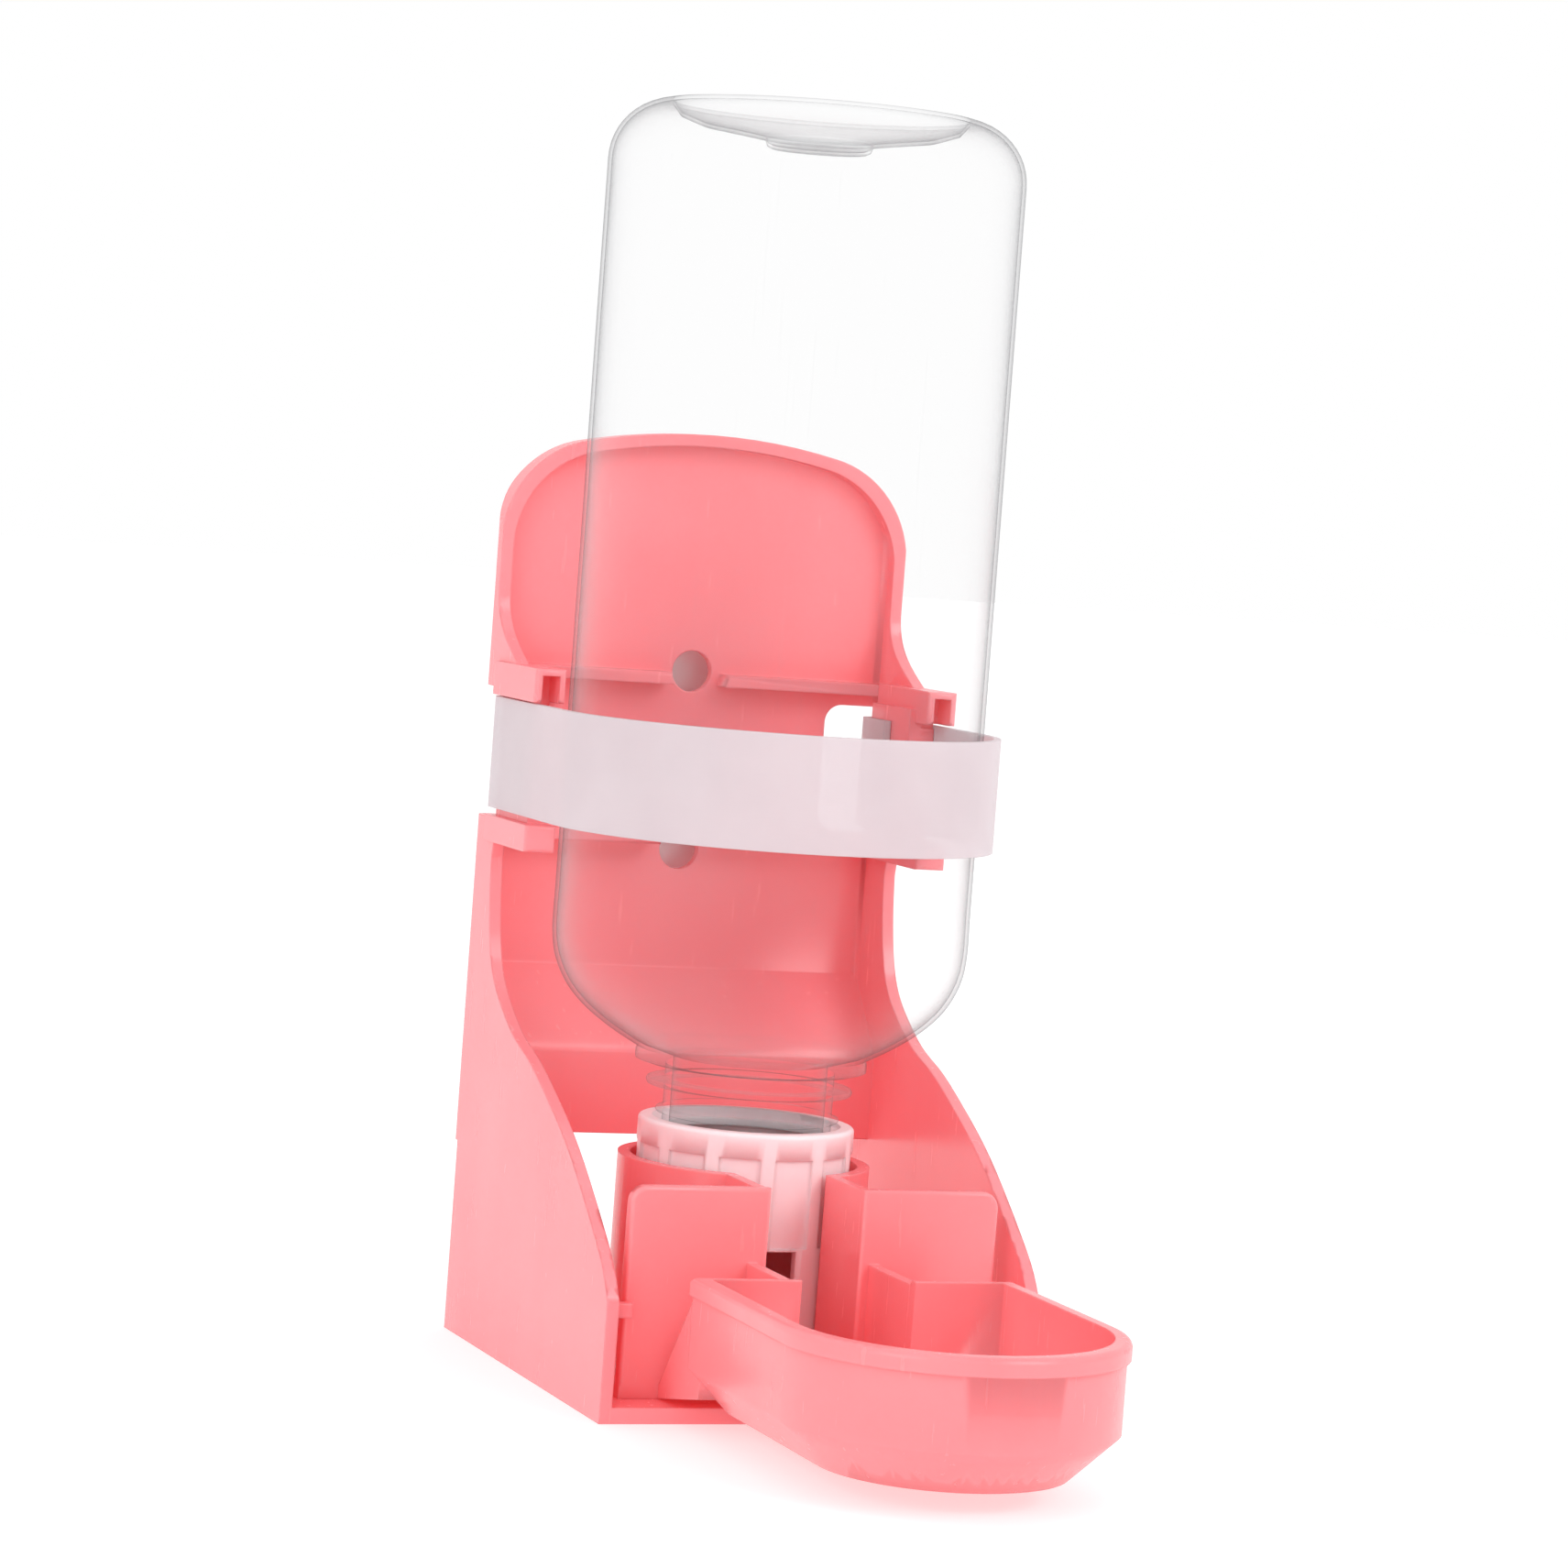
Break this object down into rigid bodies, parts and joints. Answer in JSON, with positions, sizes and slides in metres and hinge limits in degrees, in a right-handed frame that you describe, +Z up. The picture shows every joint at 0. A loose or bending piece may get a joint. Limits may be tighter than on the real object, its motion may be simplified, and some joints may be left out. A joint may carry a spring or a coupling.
{
  "type": "rabbit water bottle",
  "caption": "Upturned clear bottle in a holder with a strap, feeding a drinking bowl through a valve cap and a channel; clamps to cage wires.",
  "frame": {"origin": "on the bottle's axis, on the underside of the holder's floor", "axes": "+Z up along the bottle, -Y towards the drinking bowl, +Y towards the cage wall"},
  "size_m": [0.0736, 0.1773, 0.204],
  "materials": {
    "pink_holder": "smooth, slightly translucent",
    "pink_trough": "smooth, slightly translucent",
    "frosted_strap": "frosted translucent",
    "clear_bottle": "clear",
    "pale_cap": "smooth, slightly translucent",
    "gasket_rubber": "matt",
    "valve_plastic": "satin",
    "seal_rubber": "matt",
    "spring_steel": "bright",
    "clamp_steel": "zinc plated"
  },
  "bodies": {
    "holder": {"holder": "pink_holder", "trough": "pink_trough", "strap": "frosted_strap", "clamp_bolt": "clamp_steel"},
    "bottle": {"bottle": "clear_bottle"},
    "cap": {"cap": "pale_cap", "gasket": "gasket_rubber", "spring": "spring_steel"},
    "plunger": {"plunger": "valve_plastic", "valve_seal": "seal_rubber"},
    "clamp_plate": {"clamp_plate": "clamp_steel", "washer": "clamp_steel"},
    "wing_nut": {"wing_nut": "clamp_steel"}
  },
  "joints": [
    {"name": "bottle_lift", "type": "slide", "parent": "holder", "child": "bottle", "axis": [0, 0, 1], "range_m": [0, 0.17]},
    {"name": "cap_turn", "type": "hinge", "parent": "bottle", "child": "cap", "pos_m": [0, 0, 0.0335], "axis": [0, 0, 1], "continuous": true},
    {"name": "plunger_lift", "type": "slide", "parent": "cap", "child": "plunger", "axis": [0, 0, 1], "range_m": [0, 0.0025], "stiffness_N_per_m": 120, "springref_m": -0.006, "deforming": ["spring"]},
    {"name": "clamp_slide", "type": "slide", "parent": "holder", "child": "clamp_plate", "axis": [0, -1, 0], "range_m": [0, 0.0042]},
    {"name": "wing_nut_turn", "type": "hinge", "parent": "holder", "child": "wing_nut", "pos_m": [0, 0.053, 0.0965], "axis": [0, 1, 0], "continuous": true}
  ]
}
